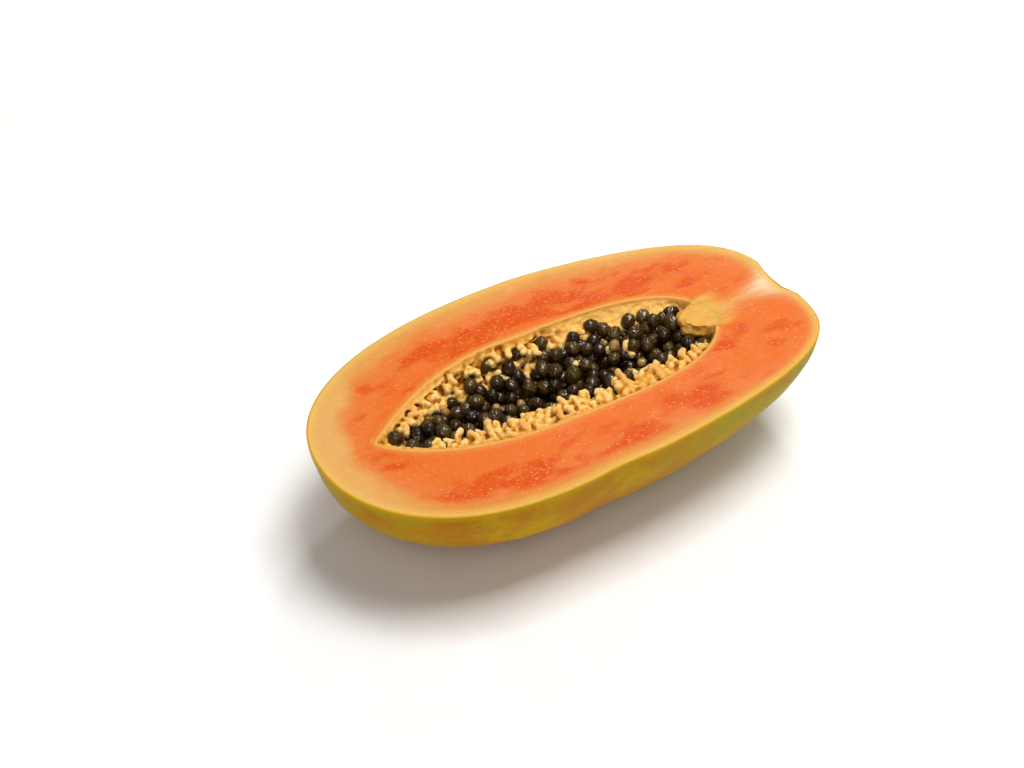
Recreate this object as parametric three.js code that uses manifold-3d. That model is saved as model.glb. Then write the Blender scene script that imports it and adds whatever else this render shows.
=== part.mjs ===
// Half of a ripe papaya, cut lengthwise and lying on its back, with the seeds still in its hollow.
// Millimetres, +Z up. X runs from the blossom end (-X) to the stem end (+X). The cut face is level, on top.
// Places along the fruit are stations: the distance from the blossom tip. The cut face is height 0 until the
// whole fruit is set down, so everything inside the hollow has a negative height.
import * as THREE from "three";
import { mergeVertices } from "three/addons/utils/BufferGeometryUtils.js";
import Module from "manifold-3d";

// Where the finished part stands: the middle of its box on the surface that it rests on.
const MID_STATION = 112.6;
const MID_ACROSS = 0.6;
const CUT_HEIGHT = 58.8;

// Outlines of the fruit and of its hollow. Each is widest (reach) at its peak and closes at both ends.
// A higher fall keeps the width longer, and a higher blunt makes the end squarer. Left is +Y, right is -Y.
const FRUIT = {
  start: 0,
  end: 224,
  left: { peak: 118, reach: 60.5, blossom: { fall: 2.4, blunt: 2.25 }, stem: { fall: 1.35, blunt: 4.0 } },
  right: { peak: 85, reach: 59.4, blossom: { fall: 2.4, blunt: 2.0 }, stem: { fall: 1.7, blunt: 3.7 } },
  back: { peak: 112, reach: 60, blossom: { fall: 2.4, blunt: 2.1 }, stem: { fall: 1.6, blunt: 3.6 } },
};
const HOLLOW = {
  start: 24.5,
  end: 186,
  left: { peak: 95, reach: 28.3, blossom: { fall: 2, blunt: 1.0 }, stem: { fall: 4, blunt: 2.0 } },
  right: { peak: 95, reach: 26.6, blossom: { fall: 2, blunt: 1.4 }, stem: { fall: 4, blunt: 2.0 } },
  back: { peak: 95, reach: 28, blossom: { fall: 2, blunt: 1.2 }, stem: { fall: 4, blunt: 2.0 } },
};
const STEM_SLANT = 0.12; // how far the stem end leans towards the right cheek
const CHEEK_DENT = { station: 107, spread: 13, depth: 1.1 }; // shallow valley in the right cheek
const STEM_SCAR = { station: 224, across: 9, radius: 14, depth: 3.8 }; // hollow where the stalk broke off
const STEM_TONGUE = { station: 190, across: 2, height: -3, length: 19, width: 10.5, thickness: 9 };

// Pulp that lines the hollow, and the stalks that the seeds hung on.
const FIT_GAP = 0.3;
const LINING = 2.2;
const STALK_FOOT = 2.0; // radius where a stalk leaves the pulp
const STALK_TIP = 1.1; // radius of its free end
const STALK_ROOT = 1.2; // length sunk into the pulp
const STALK_ROWS = [
  { side: -1, from: 48, to: 168, step: 5.0, angles: [9, 21], length: 9 },
  { side: 1, from: 42, to: 132, step: 5.6, angles: [12, 24, 36], length: 4.5 },
];

// Seeds lie on a bed that is lowest along the middle and rises towards the right cheek.
const SEED = { long: 3.2, wide: 2.7, spacing: 5.3, lift: 1.4, darts: 6000 };
const BED = { share: 0.55, leftRise: 0.45, rightRise: 0.35, valley: 4, valleyStation: 98, valleySpread: 14 };
const WALL_SEEDS = { from: 90, step: 12, count: 4, angle: 20 };
const RANDOM_START = { seeds: 20251, stalks: 311, wallSeeds: 77 };

const FLESH_COLOUR = 0xee7f43;
const PULP_COLOUR = 0xf0b75a;
const SEED_COLOUR = 0x2b2018;

const wasm = await Module();
wasm.setup();

// Repeatable random numbers from 0 to 1.
let randomState = 0;
function draw() {
  randomState = (Math.imul(randomState, 1664525) + 1013904223) >>> 0;
  return randomState / 4294967296;
}

// A closed three.js geometry as a solid that can be joined and cut.
function solid(geometry) {
  const bare = geometry.clone();
  bare.deleteAttribute("normal");
  bare.deleteAttribute("uv");
  const welded = mergeVertices(bare);
  return new wasm.Manifold(
    new wasm.Mesh({
      numProp: 3,
      vertProperties: welded.attributes.position.array,
      triVerts: new Uint32Array(welded.index.array),
    }),
  );
}

function joined(solids) {
  return solids.reduce((whole, piece) => whole.add(piece));
}

function largest(whole) {
  return whole.decompose().reduce((a, b) => (b.volume() > a.volume() ? b : a));
}

function boxAt(length, width, height, x, y, z) {
  return new THREE.BoxGeometry(length, width, height).translate(x, y, z);
}

function ellipsoid(radii, centre, sides, rings) {
  return new THREE.SphereGeometry(1, sides, rings)
    .rotateZ(Math.PI / 2)
    .scale(...radii)
    .translate(...centre);
}

// How far an outline reaches at a station. An inset draws the whole outline in by that much.
function reachAt(shape, side, station, inset = 0) {
  const { peak, reach, blossom, stem } = shape[side];
  const early = station < peak;
  const span = (early ? peak - shape.start : shape.end - peak) - inset;
  const share = Math.min(1, Math.abs(station - peak) / span);
  const { fall, blunt } = early ? blossom : stem;
  return (reach - inset) * (1 - share ** fall) ** (1 / blunt);
}

// A closed solid between a shape's left, right and back outlines, alike above and below the cut.
function lofted(shape, sides, rings, inset = 0, reshape = (point) => point) {
  const geometry = new THREE.SphereGeometry(1, sides, rings);
  const positions = geometry.getAttribute("position");
  const point = new THREE.Vector3();
  for (let i = 0; i < positions.count; i++) {
    point.fromBufferAttribute(positions, i);
    const share = (1 - point.y) / 2;
    const station = shape.start + inset + share * (shape.end - shape.start - 2 * inset);
    const turn = Math.hypot(point.x, point.z) || 1;
    const across = -point.x / turn;
    const down = point.z / turn;
    const cheek = across > 0 ? "left" : "right";
    const side = reachAt(shape, cheek, station, inset);
    const deep = reachAt(shape, "back", station, inset);
    point.set(station, across * side, -down * deep);
    positions.setXYZ(i, ...reshape(point));
  }
  return geometry;
}

// The fruit's own unevenness: a leaning stem end, and a valley in the right cheek.
function unevenFruit(point) {
  const lean = STEM_SLANT * (point.x / FRUIT.end) ** 4;
  const away = (point.x - CHEEK_DENT.station) / CHEEK_DENT.spread;
  const dent = point.y < 0 ? CHEEK_DENT.depth * Math.exp(-away * away) : 0;
  const width = Math.abs(point.y) || 1;
  point.x -= lean * point.y;
  point.y *= Math.max(0, 1 - dent / Math.max(width, FRUIT.right.reach / 2));
  return point;
}

// Height of the hollow's wall below the cut at a place, with the same inset as above, or null outside it.
function wallHeight(station, across, inset) {
  const side = reachAt(HOLLOW, across > 0 ? "left" : "right", station, inset);
  const share = Math.abs(across) / side;
  return share < 1 ? -reachAt(HOLLOW, "back", station, inset) * Math.sqrt(1 - share * share) : null;
}

// A place on the hollow's wall. Side is 1 on the left and -1 on the right, angle is degrees below the cut.
function wallPoint(station, side, angle, inset) {
  const turn = THREE.MathUtils.degToRad(angle);
  const reach = reachAt(HOLLOW, side > 0 ? "left" : "right", station, inset);
  const deep = reachAt(HOLLOW, "back", station, inset);
  return new THREE.Vector3(station, side * reach * Math.cos(turn), -deep * Math.sin(turn));
}

// Height of the bed that the seeds lie on.
function bedHeight(station, across) {
  const side = reachAt(HOLLOW, across > 0 ? "left" : "right", station);
  const share = side > 0 ? Math.min(1, Math.abs(across) / side) : 0;
  const away = (station - BED.valleyStation) / BED.valleySpread;
  const middle = BED.share * reachAt(HOLLOW, "back", station) + BED.valley * Math.exp(-away * away);
  const rise = across > 0 ? BED.leftRise : BED.rightRise;
  return -middle * (1 - rise * share);
}

// Seeds are thrown at the bed at random, and each that finds a free place stays there.
function layBedSeeds(stalks) {
  const seeds = [];
  const near = new THREE.Vector3();
  const room = SEED.wide + STALK_TIP;
  randomState = RANDOM_START.seeds;
  for (let n = 0; n < SEED.darts; n++) {
    const station = HOLLOW.start + draw() * (HOLLOW.end - HOLLOW.start);
    const across = (2 * draw() - 1) * HOLLOW.left.reach;
    const wall = wallHeight(station, across, FIT_GAP + LINING + SEED.wide);
    const place = new THREE.Vector3(station, across, bedHeight(station, across) + SEED.lift);
    const inside = wall !== null && place.z > wall && place.z < -SEED.long;
    const free = seeds.every((seed) => seed.place.distanceTo(place) > SEED.spacing);
    const toStalk = ({ spine }) => spine.closestPointToPoint(place, true, near).distanceTo(place);
    const clear = stalks.every((stalk) => toStalk(stalk) > room);
    if (inside && free && clear) {
      seeds.push({ place, size: 0.86 + 0.24 * draw(), turn: [draw() * Math.PI, draw() * Math.PI] });
    }
  }
  return seeds;
}

function seedGeometry(seed, grow = 0) {
  const wide = SEED.wide * seed.size + grow;
  return new THREE.SphereGeometry(1, 6, 4)
    .scale(SEED.long * seed.size + grow, wide, wide)
    .rotateY(seed.turn[0])
    .rotateZ(seed.turn[1])
    .translate(seed.place.x, seed.place.y, seed.place.z);
}

// The dark pulp under the seeds: the inside of the hollow, up to the bed.
function seedCore() {
  const length = HOLLOW.end - HOLLOW.start;
  const width = HOLLOW.left.reach + HOLLOW.right.reach;
  const depth = HOLLOW.back.reach;
  const block = new THREE.BoxGeometry(length, width, depth, 20, 8, 1);
  block.translate((HOLLOW.start + HOLLOW.end) / 2, (HOLLOW.left.reach - HOLLOW.right.reach) / 2, -depth / 2);
  const positions = block.getAttribute("position");
  for (let i = 0; i < positions.count; i++) {
    const top = positions.getZ(i) > -depth / 2;
    const height = bedHeight(positions.getX(i), positions.getY(i));
    positions.setZ(i, top ? height : -depth);
  }
  return solid(block).intersect(solid(lofted(HOLLOW, 20, 16, LINING + 2 * FIT_GAP)));
}

// Stalks stand on the pulp in rows along both walls. Those that the seeds would bury are left out.
function layStalks() {
  const stalks = [];
  randomState = RANDOM_START.stalks;
  for (const row of STALK_ROWS) {
    for (let station = row.from; station < row.to; station += row.step) {
      for (const angle of row.angles) {
        const place = station + (draw() - 0.5) * row.step;
        const foot = wallPoint(place, row.side, angle + (draw() - 0.5) * 9, FIT_GAP + LINING);
        const inward = new THREE.Vector3((draw() - 0.5) * 0.8, -foot.y, -foot.z);
        inward.normalize();
        const length = row.length * (0.7 + 0.6 * draw());
        const tip = foot.clone().addScaledVector(inward, length);
        const seen = tip.z < -1.5 && tip.z > bedHeight(tip.x, tip.y);
        if (seen) stalks.push({ foot, inward, length, spine: new THREE.Line3(foot, tip) });
      }
    }
  }
  return stalks;
}

function stalkGeometry(stalk, grow = 0) {
  const turn = new THREE.Quaternion().setFromUnitVectors(new THREE.Vector3(0, 1, 0), stalk.inward);
  const middle = stalk.foot.clone().addScaledVector(stalk.inward, stalk.length / 2 - STALK_ROOT / 2);
  const height = stalk.length + STALK_ROOT + 2 * grow;
  return new THREE.CylinderGeometry(STALK_TIP + grow, STALK_FOOT + grow, height, 5)
    .applyQuaternion(turn)
    .translate(middle.x, middle.y, middle.z);
}

// A few seeds still sit on the left wall, sunk into the pulp.
function layWallSeeds() {
  randomState = RANDOM_START.wallSeeds;
  return Array.from({ length: WALL_SEEDS.count }, (_, n) => {
    const station = WALL_SEEDS.from + n * WALL_SEEDS.step + 6 * (draw() - 0.5);
    const angle = WALL_SEEDS.angle + 12 * (draw() - 0.5);
    const place = wallPoint(station, 1, angle, FIT_GAP + LINING + SEED.wide * 0.6);
    return { place, size: 1, turn: [draw() * Math.PI, draw() * Math.PI] };
  });
}

const stalks = layStalks();
const bedSeeds = layBedSeeds(stalks);
const wallSeeds = layWallSeeds();

const aboveCut = solid(boxAt(2 * FRUIT.end, 3 * FRUIT.end, FRUIT.end, FRUIT.end / 2, 0, FRUIT.end / 2));
const belowRest = solid(
  boxAt(2 * FRUIT.end, 3 * FRUIT.end, FRUIT.end, FRUIT.end / 2, 0, -CUT_HEIGHT - FRUIT.end / 2),
);
const { station: scarX, across: scarY, radius: scarRadius, depth: scarDepth } = STEM_SCAR;
const stemScar = solid(ellipsoid([scarDepth, scarRadius, scarRadius], [scarX, scarY, 0], 28, 16));

function tongue(grow) {
  const { station, across, height, length, width, thickness } = STEM_TONGUE;
  const radii = [length + grow, width + grow, thickness + grow];
  return solid(ellipsoid(radii, [station, across, height], 16, 10));
}

// Flesh and skin grew as one piece.
function fleshSolid() {
  const whole = solid(lofted(FRUIT, 44, 36, 0, unevenFruit));
  const hollow = solid(lofted(HOLLOW, 28, 24));
  const opened = whole.subtract(hollow).add(tongue(0));
  return opened.subtract(aboveCut).subtract(belowRest).subtract(stemScar);
}

function liningSolid(grow) {
  const outside = solid(lofted(HOLLOW, 28, 24, FIT_GAP));
  const inside = solid(lofted(HOLLOW, 20, 16, FIT_GAP + LINING + grow));
  const wall = outside.subtract(inside);
  const bumps = stalks.map((stalk) => solid(stalkGeometry(stalk, grow)));
  const held = wallSeeds.map((seed) => solid(seedGeometry(seed, grow)));
  return joined([wall, ...bumps, ...held]).intersect(outside);
}

function pulpSolid() {
  return largest(liningSolid(0).subtract(tongue(FIT_GAP)).subtract(aboveCut));
}

function seedSolid() {
  const heap = joined([seedCore(), ...bedSeeds.map((seed) => solid(seedGeometry(seed)))]);
  const clearance = liningSolid(FIT_GAP);
  return largest(heap.subtract(clearance).subtract(tongue(2 * FIT_GAP)).subtract(aboveCut));
}

function nodeMesh(name, whole, colour, roughness) {
  const mesh = whole.getMesh();
  const geometry = new THREE.BufferGeometry();
  geometry.setAttribute("position", new THREE.BufferAttribute(mesh.vertProperties, 3));
  geometry.setIndex(new THREE.BufferAttribute(mesh.triVerts, 1));
  geometry.computeVertexNormals();
  const material = new THREE.MeshStandardMaterial({ color: colour, roughness, metalness: 0 });
  const node = new THREE.Mesh(geometry, material);
  node.name = name;
  return node;
}

const fruit = new THREE.Group();
fruit.position.set(-MID_STATION, -MID_ACROSS, CUT_HEIGHT);
fruit.add(nodeMesh("flesh_half", fleshSolid(), FLESH_COLOUR, 0.35));
fruit.add(nodeMesh("pulp_lining", pulpSolid(), PULP_COLOUR, 0.45));
fruit.add(nodeMesh("seed_heap", seedSolid(), SEED_COLOUR, 0.25));

const papaya = new THREE.Group();
papaya.add(fruit);
export default papaya;
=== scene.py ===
import math
from functools import partial
import bpy
import numpy as np
from mathutils import Euler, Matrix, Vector, noise


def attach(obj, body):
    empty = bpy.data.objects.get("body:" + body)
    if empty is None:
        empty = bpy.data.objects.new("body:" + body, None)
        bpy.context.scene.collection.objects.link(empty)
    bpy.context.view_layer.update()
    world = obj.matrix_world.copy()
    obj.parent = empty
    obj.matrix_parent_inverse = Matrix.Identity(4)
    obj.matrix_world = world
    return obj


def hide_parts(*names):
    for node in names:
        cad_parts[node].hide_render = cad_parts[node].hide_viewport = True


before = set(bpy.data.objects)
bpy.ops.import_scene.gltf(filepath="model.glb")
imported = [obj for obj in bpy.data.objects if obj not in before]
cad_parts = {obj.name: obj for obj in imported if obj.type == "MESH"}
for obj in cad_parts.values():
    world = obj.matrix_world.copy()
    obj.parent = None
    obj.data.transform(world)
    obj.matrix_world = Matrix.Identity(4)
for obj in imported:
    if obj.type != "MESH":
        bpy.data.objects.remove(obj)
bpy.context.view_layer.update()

# Half of a ripe papaya, cut side up. Shapes are worked out in millimetres: station is the distance from the
# blossom tip, across is + on the left cheek, height is 0 on the cut face. toScene gives the part's metres.

fruit = {  # (peak station, reach, fall and blunt at the blossom end, fall and blunt at the stem end)
    "start": 0.0, "end": 224.0,
    "left": (118.0, 60.5, 2.4, 2.25, 1.35, 4.0),
    "right": (85.0, 59.4, 2.4, 2.0, 1.7, 3.7),
    "back": (112.0, 60.0, 2.4, 2.1, 1.6, 3.6),
    "stemSlant": 0.12,
    "dent": (107.0, 13.0, 1.1),  # station, spread, depth of the valley in the right cheek
    "scar": (224.0, 9.0, 14.0, 3.8),  # station, across, radius, depth where the stalk broke off
    "scarFrom": 180.0,  # station, nothing nearer the blossom is part of the scar
    "tongue": (190.0, 2.0, -3.0, 19.0, 10.5, 9.0),  # centre and half sizes of the pale tongue at the stem end
    "middle": (112.6, 0.6),  # station and across of the part's origin
    "cutHeight": 58.8,
}
hollow = {
    "start": 24.5, "end": 186.0,
    "left": (95.0, 28.3, 2.0, 1.0, 4.0, 2.0),
    "right": (95.0, 26.6, 2.0, 1.4, 4.0, 2.0),
    "back": (95.0, 28.0, 2.0, 1.2, 4.0, 2.0),
}


def toScene(points):
    points = np.asarray(points, float)
    shift = np.array([-fruit["middle"][0], -fruit["middle"][1], fruit["cutHeight"]])
    return (points + shift) / 1000.0


def toFruit(points):  # and back to millimetres on the fruit
    return np.asarray(points, float) * 1000.0 + [*fruit["middle"], -fruit["cutHeight"]]


def reachAt(shape, side, station, inset=0.0):
    peak, reach, fallB, bluntB, fallS, bluntS = shape[side]
    station = np.asarray(station, float)
    early = station < peak
    span = np.where(early, peak - shape["start"], shape["end"] - peak) - inset
    share = np.clip(np.abs(station - peak) / span, 0.0, 1.0)
    rest = np.clip(1.0 - share ** np.where(early, fallB, fallS), 0.0, 1.0)
    return (reach - inset) * rest ** (1.0 / np.where(early, bluntB, bluntS))


def loftGrid(shape, along, around, inset=0.0):
    share = (1.0 - np.cos(np.linspace(0.0, math.pi, along + 1))) / 2.0
    station = shape["start"] + inset + share * (shape["end"] - shape["start"] - 2.0 * inset)
    turn = np.linspace(0.0, math.pi, around + 1)  # from the left lip, under the back, to the right lip
    left = reachAt(shape, "left", station, inset)[:, None]
    right = reachAt(shape, "right", station, inset)[:, None]
    deep = reachAt(shape, "back", station, inset)[:, None]
    sway = np.cos(turn)[None, :]
    across = np.where(sway > 0, left, right) * sway
    height = -deep * np.sin(turn)[None, :]
    return np.stack([np.broadcast_to(station[:, None], across.shape), across, height], axis=-1)


def smoothStep(low, high, value):
    share = np.clip((np.asarray(value, float) - low) / (high - low), 0.0, 1.0)
    return share * share * (3.0 - 2.0 * share)


def noiseAt(points, size, seed=0.0):  # smooth noise from -1 to 1 with features of that many millimetres
    shift = Vector((seed * 7.31, seed * 3.17, seed * 5.53))
    flat = np.asarray(points, float).reshape(-1, 3) / size
    values = [noise.noise(Vector(point) + shift) for point in flat]
    return np.array(values).reshape(np.asarray(points).shape[:-1])


def mixedNoise(points, layers):  # layers of share, stretch along the fruit, feature in mm, seed
    total = 0.0
    for share, stretch, size, seed in layers:
        total = total + share * noiseAt(points * [stretch, 1.0, 1.0], size, seed)
    return total


def gridFaces(rows, columns, first=0):
    corner = first + np.arange(rows - 1)[:, None] * columns + np.arange(columns - 1)[None, :]
    corner = corner.reshape(-1)
    return np.stack([corner, corner + 1, corner + columns + 1, corner + columns], axis=1)


def addMark(mesh, key, values):
    layer = mesh.attributes.new(key, "FLOAT", "POINT")
    layer.data.foreach_set("value", np.asarray(values, np.float32).reshape(-1))


def readMesh(mesh):  # points in metres and normals
    columns = []
    for key in ("co", "normal"):
        values = np.empty(len(mesh.vertices) * 3)
        mesh.vertices.foreach_get(key, values)
        columns.append(values.reshape(-1, 3))
    return columns


def joinShells(shells):  # one list of points and one of faces
    points, faces, total = [], [], 0
    for shell, loops in shells:
        points.append(shell)
        faces += [[corner + total for corner in loop] for loop in loops]
        total += len(shell)
    return np.concatenate(points), faces


def addObject(name, data):
    thing = bpy.data.objects.new(name, data)
    bpy.context.scene.collection.objects.link(thing)
    return thing


def makePiece(name, points, faces, marks=None, kinds=None):  # points in mm, welded where they coincide
    points = np.asarray(points, float).reshape(-1, 3)
    _, firsts, places = np.unique(np.round(points, 3), axis=0, return_index=True, return_inverse=True)
    places = places.reshape(-1)
    clean, cleanKinds = [], []
    for number, face in enumerate(faces):
        loop = list(dict.fromkeys(int(places[corner]) for corner in face))
        if len(loop) > 2:
            clean.append(loop)
            cleanKinds.append(0 if kinds is None else int(kinds[number]))
    mesh = bpy.data.meshes.new(name)
    mesh.from_pydata(toScene(points[firsts]).tolist(), [], clean)
    for key, values in (marks or {}).items():
        addMark(mesh, key, np.asarray(values).reshape(-1)[firsts])
    mesh.polygons.foreach_set("material_index", np.array(cleanKinds, np.int32))
    mesh.polygons.foreach_set("use_smooth", np.ones(len(clean), bool))
    mesh.validate()
    mesh.update()
    return addObject(name, mesh)


randomState = 0


def startDraws(number):
    global randomState
    randomState = number


def draw():  # the same repeatable numbers as the part's source
    global randomState
    randomState = (randomState * 1664525 + 1013904223) & 0xFFFFFFFF
    return randomState / 4294967296.0


def swing():  # from -0.5 to 0.5
    return draw() - 0.5


def between(low, high):
    return low + draw() * (high - low)


def unit(vectors):
    return vectors / np.maximum(np.linalg.norm(vectors, axis=-1, keepdims=True), 1e-6)


# camera: the cut face is seen from 45 degrees above, the blossom end nearer, through a 70 mm lens
camera = {"station": -187.3, "across": -507.7, "height": 582.6, "turn": 28.465, "tilt": 45.08, "lens": 70.0,
          "sensor": 36.0, "near": 0.01}


def placeCamera():
    data = bpy.data.cameras.new("photoCamera")
    data.lens = camera["lens"]
    data.sensor_width = camera["sensor"]
    data.clip_start = camera["near"]
    eye = addObject("photoCamera", data)
    eye.location = toScene([camera["station"], camera["across"], camera["height"]]).tolist()
    turn, tilt = math.radians(camera["turn"]), math.radians(camera["tilt"])
    forward = Vector((math.sin(turn) * math.cos(tilt), math.cos(turn) * math.cos(tilt), -math.sin(tilt)))
    eye.rotation_euler = forward.to_track_quat("-Z", "Y").to_euler()
    bpy.context.scene.camera = eye


placeCamera()
print("camera placed")

# flesh and skin: one closed body made of the skin, the cut face and the wall of the hollow
fleshBody = {
    "along": 260, "skinAround": 120, "cutRings": 64, "wallAround": 36,
    "tongueFacets": (96, 64), "crispAngle": 40.0,  # degrees between faces where the knife left a crisp edge
    "edgeRound": 0.35, "edgeReach": 0.5,  # mm that the knife edge drops at the skin, and how far in
    "cutWave": 0.2,  # mm of unevenness left by the knife, in the layers of noise that follow
    "cutRipple": [(1.0, 1.0, 17.0, 3.0), (0.45, 1.0, 5.0, 4.0)],
    "skinWave": 0.6,  # mm of the soft swellings of the skin, likewise
    "swell": [(0.6, 0.35, 22.0, 1.0), (0.4, 0.6, 9.0, 2.0)],
    "ripeClouds": [(0.5, 0.55, 9.0, 8.0), (0.45, 0.5, 3.8, 9.0)],
    "tongueTear": [(0.13, 1.0, 5.5, 11.0), (0.09, 1.0, 2.2, 12.0)],
    "tongueTop": 0.03, "tongueSink": 1.6,  # mm below the cut, in the hollow and behind its end
    "inFlesh": 30.0,  # mm, stands for far from the skin and from the hollow
    "rindNear": 7.5, "rindFar": 10.5, "rindBlossom": 10.0, "rindStem": -4.0,  # mm, width of the pale band
    "blossomSpan": (4.0, 46.0), "stemSpan": (160.0, 212.0),  # stations over which that width changes
    "creamSpan": (6.0, 44.0), "creamFar": 0.45, "coreSpan": (178.0, 190.0), "whiteSpan": (200.0, 217.0),
    "tongueEdge": (0.72, 1.02), "tongueSpan": (185.0, 198.0),  # share of its half size, stations
    "ripeSpots": [  # station, across, half length, half width, strength of the deeper orange flesh
        (50, -42, 18, 6, 1.0), (72, -45, 12, 5, 0.9), (112, -48, 15, 4.5, 1.0), (153, -41, 14, 6.5, 1.05),
        (80, 36, 22, 5, 0.95), (118, 38, 26, 5.5, 1.05), (156, 32, 24, 4.5, 0.95), (190, 22, 9, 2.5, 0.8),
        (26, -8, 8, 6, 0.55), (176, -17, 16, 3.5, 0.6), (205, -20, 9, 4, 0.5), (40, 26, 9, 5, 0.55),
    ],
    "corePath": ((180, 186, 192, 202, 211, 218, 226), (1, 1, 1, 3, 4, 5.5, 7.5)),  # station, across
    "coreWidth": ((180, 190, 202, 211, 218, 226), (4.4, 3.8, 3.4, 4.6, 8.0, 11.0)),
}


def unevenFruit(points):
    x, y, z = points[..., 0].copy(), points[..., 1].copy(), points[..., 2].copy()
    lean = fruit["stemSlant"] * (x / fruit["end"]) ** 4
    station, spread, depth = fruit["dent"]
    dent = np.where(y < 0, depth * np.exp(-((x - station) / spread) ** 2), 0.0)
    width = np.maximum(np.abs(y), fruit["right"][1] / 2.0)
    x = x - lean * y
    y = y * np.maximum(0.0, 1.0 - dent / width)
    scarX, scarY, radius, deep = fruit["scar"]
    away = np.hypot(y - scarY, z) / radius
    floor = scarX - deep * np.sqrt(np.clip(1.0 - away * away, 0.0, 1.0))
    inScar = (away < 1.0) & (x > fruit["scarFrom"])
    x = np.where(inScar, np.minimum(x, floor), x)
    z = np.maximum(z, -fruit["cutHeight"])
    return np.stack([x, y, z], axis=-1)


def tongueFront(y, z):  # station of the tongue's surface, and whether it is there at all
    cx, cy, cz, length, width, thick = fruit["tongue"]
    rest = 1.0 - ((y - cy) / width) ** 2 - ((z - cz) / thick) ** 2
    return cx - length * np.sqrt(np.clip(rest, 0.0, 1.0)), rest > 0.0


def ball(sides, rings):  # unit ball: points and faces
    points = [(0.0, 0.0, 1.0)]
    for ring in range(1, rings):
        tilt = math.pi * ring / rings
        for side in range(sides):
            turn = 2.0 * math.pi * side / sides
            points.append((math.sin(tilt) * math.cos(turn), math.sin(tilt) * math.sin(turn), math.cos(tilt)))
    points.append((0.0, 0.0, -1.0))
    last = len(points) - 1
    faces = []
    for side in range(sides):
        after = (side + 1) % sides
        faces.append((0, 1 + side, 1 + after))
        for ring in range(rings - 2):
            top, low = 1 + ring * sides, 1 + (ring + 1) * sides
            faces.append((top + side, low + side, low + after, top + after))
        top = 1 + (rings - 2) * sides
        faces.append((top + side, last, top + after))
    return np.array(points), faces


def tongueShell():  # flush with the cut inside the hollow, sunk into the flesh behind it
    cx, cy, cz, length, width, thick = fruit["tongue"]
    points, faces = ball(*fleshBody["tongueFacets"])
    points = points * [length, width, thick] + [cx, cy, cz]
    rough = 1.0 + mixedNoise(points, fleshBody["tongueTear"])  # torn, not smooth
    points[:, :2] = [cx, cy] + (points[:, :2] - [cx, cy]) * rough[:, None]
    station, across = points[:, 0], points[:, 1]
    peak, reach, _, _, fallS, bluntS = hollow["left"]
    share = np.clip(np.abs(across) / reach, 0.0, 1.0)
    lip = peak + (hollow["end"] - peak) * (1.0 - share ** bluntS) ** (1.0 / fallS)
    top = -fleshBody["tongueTop"] - fleshBody["tongueSink"] * smoothStep(0.7, 3.5, station - lip)
    points[:, 2] = np.minimum(points[:, 2], top)
    return points, faces


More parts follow.
